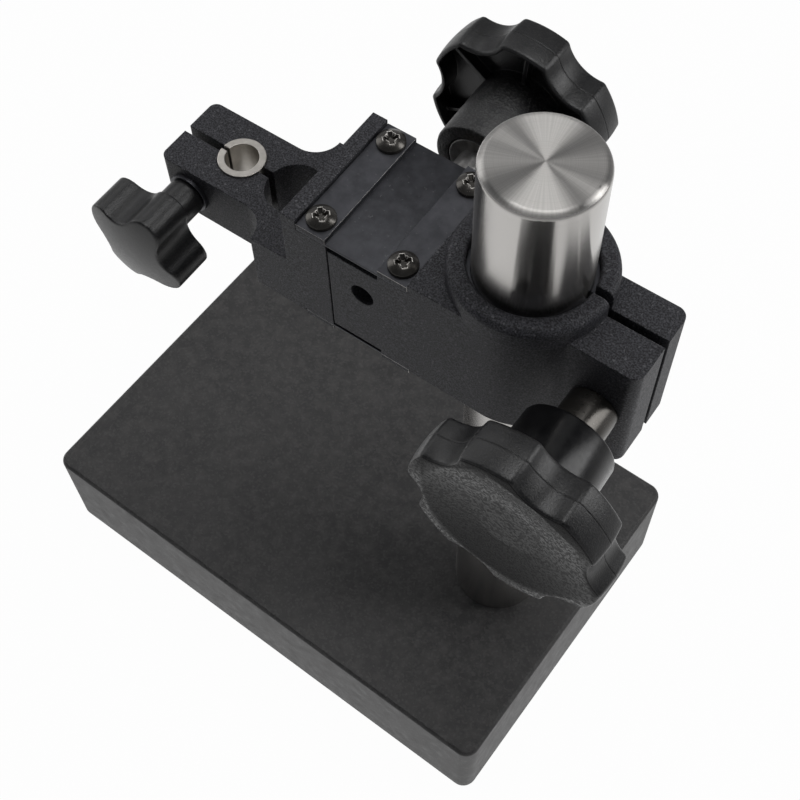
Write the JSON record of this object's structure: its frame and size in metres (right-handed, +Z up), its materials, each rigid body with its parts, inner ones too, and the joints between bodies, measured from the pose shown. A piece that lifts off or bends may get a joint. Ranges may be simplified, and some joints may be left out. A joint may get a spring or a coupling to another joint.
{
  "type": "comparator stand",
  "caption": "Comparator stand with a granite plate, a steel column and a clamped arm whose split tip holds an indicator stem and is fine-set by a knob.",
  "frame": {"origin": "centre of the granite base's underside", "axes": "+Z up along the column, +X towards the column's end of the base, +Y to the back, where the fine knob is"},
  "size_m": [0.2161, 0.125, 0.268],
  "materials": {
    "granite": "honed",
    "column_steel": "ground",
    "plain_steel": "turned",
    "bright_steel": "fine turned",
    "black_steel": "black oxide",
    "black_coat": "fine sand texture",
    "black_plastic": "satin",
    "bronze": "turned"
  },
  "bodies": {
    "base": {"granite_base": "granite", "column": "column_steel", "column_bolt": "black_steel", "column_washer": "plain_steel"},
    "liner": {"column_liner": "black_steel"},
    "rear_arm": {"rear_block": "black_coat", "top_leaf": "black_steel", "bottom_leaf": "black_steel", "rear_clamp_bars": "black_steel", "rear_bar_screws": "black_steel", "shaft_bush": "bronze"},
    "clamp_slide": {"clamp_spacer": "black_steel"},
    "clamp": {"clamp_knob": "black_plastic", "clamp_knob_insert": "plain_steel", "clamp_stud": "plain_steel"},
    "fine": {"fine_shaft": "plain_steel", "fine_knob": "black_plastic", "fine_knob_insert": "plain_steel"},
    "front_arm": {"front_block": "black_coat", "front_clamp_bars": "black_steel", "front_bar_screws": "black_steel", "lift_tongue": "plain_steel", "tongue_screw": "black_steel", "stem_bush": "bright_steel"},
    "stem_clamp_slide": {"stem_clamp_washer": "black_steel"},
    "stem_clamp": {"stem_clamp_knob": "black_plastic", "stem_clamp_screw": "plain_steel"}
  },
  "joints": [
    {"name": "arm_height", "type": "slide", "parent": "base", "child": "liner", "axis": [0, 0, 1], "range_m": [-0.13, 0.034]},
    {"name": "arm_swing", "type": "hinge", "parent": "liner", "child": "rear_arm", "pos_m": [0.064, 0, 0.186], "axis": [0, 0, 1], "continuous": true},
    {"name": "clamp_advance", "type": "slide", "parent": "rear_arm", "child": "clamp_slide", "axis": [0.0262, -0.9997, 0], "range_m": [0, 0.0015]},
    {"name": "clamp_turn", "type": "hinge", "parent": "clamp_slide", "child": "clamp", "pos_m": [0.0915, -0.01128, 0.206], "axis": [0.0262, -0.9997, 0], "range_deg": [0, 360]},
    {"name": "fine_turn", "type": "hinge", "parent": "rear_arm", "child": "fine", "pos_m": [0.02629, 0.01902, 0.21], "axis": [-0.0262, 0.9997, 0], "range_deg": [-40, 40]},
    {"name": "fine_lift", "type": "slide", "parent": "rear_arm", "child": "front_arm", "axis": [0, 0, 1], "range_m": [-0.00077, 0.00077], "deforming": ["top_leaf", "bottom_leaf"]},
    {"name": "stem_clamp_advance", "type": "slide", "parent": "front_arm", "child": "stem_clamp_slide", "axis": [0.0262, -0.9997, 0], "range_m": [0, 0.001]},
    {"name": "stem_clamp_turn", "type": "hinge", "parent": "stem_clamp_slide", "child": "stem_clamp", "pos_m": [-0.03885, -0.0147, 0.197], "axis": [0.0262, -0.9997, 0], "range_deg": [0, 360]}
  ],
  "couplings": [
    {"joint": "clamp_turn", "follows": "clamp_advance", "rad_per_m": 4188.8},
    {"joint": "fine_turn", "follows": "fine_lift", "rad_per_m": 905.08},
    {"joint": "stem_clamp_turn", "follows": "stem_clamp_advance", "rad_per_m": 6283.2}
  ]
}
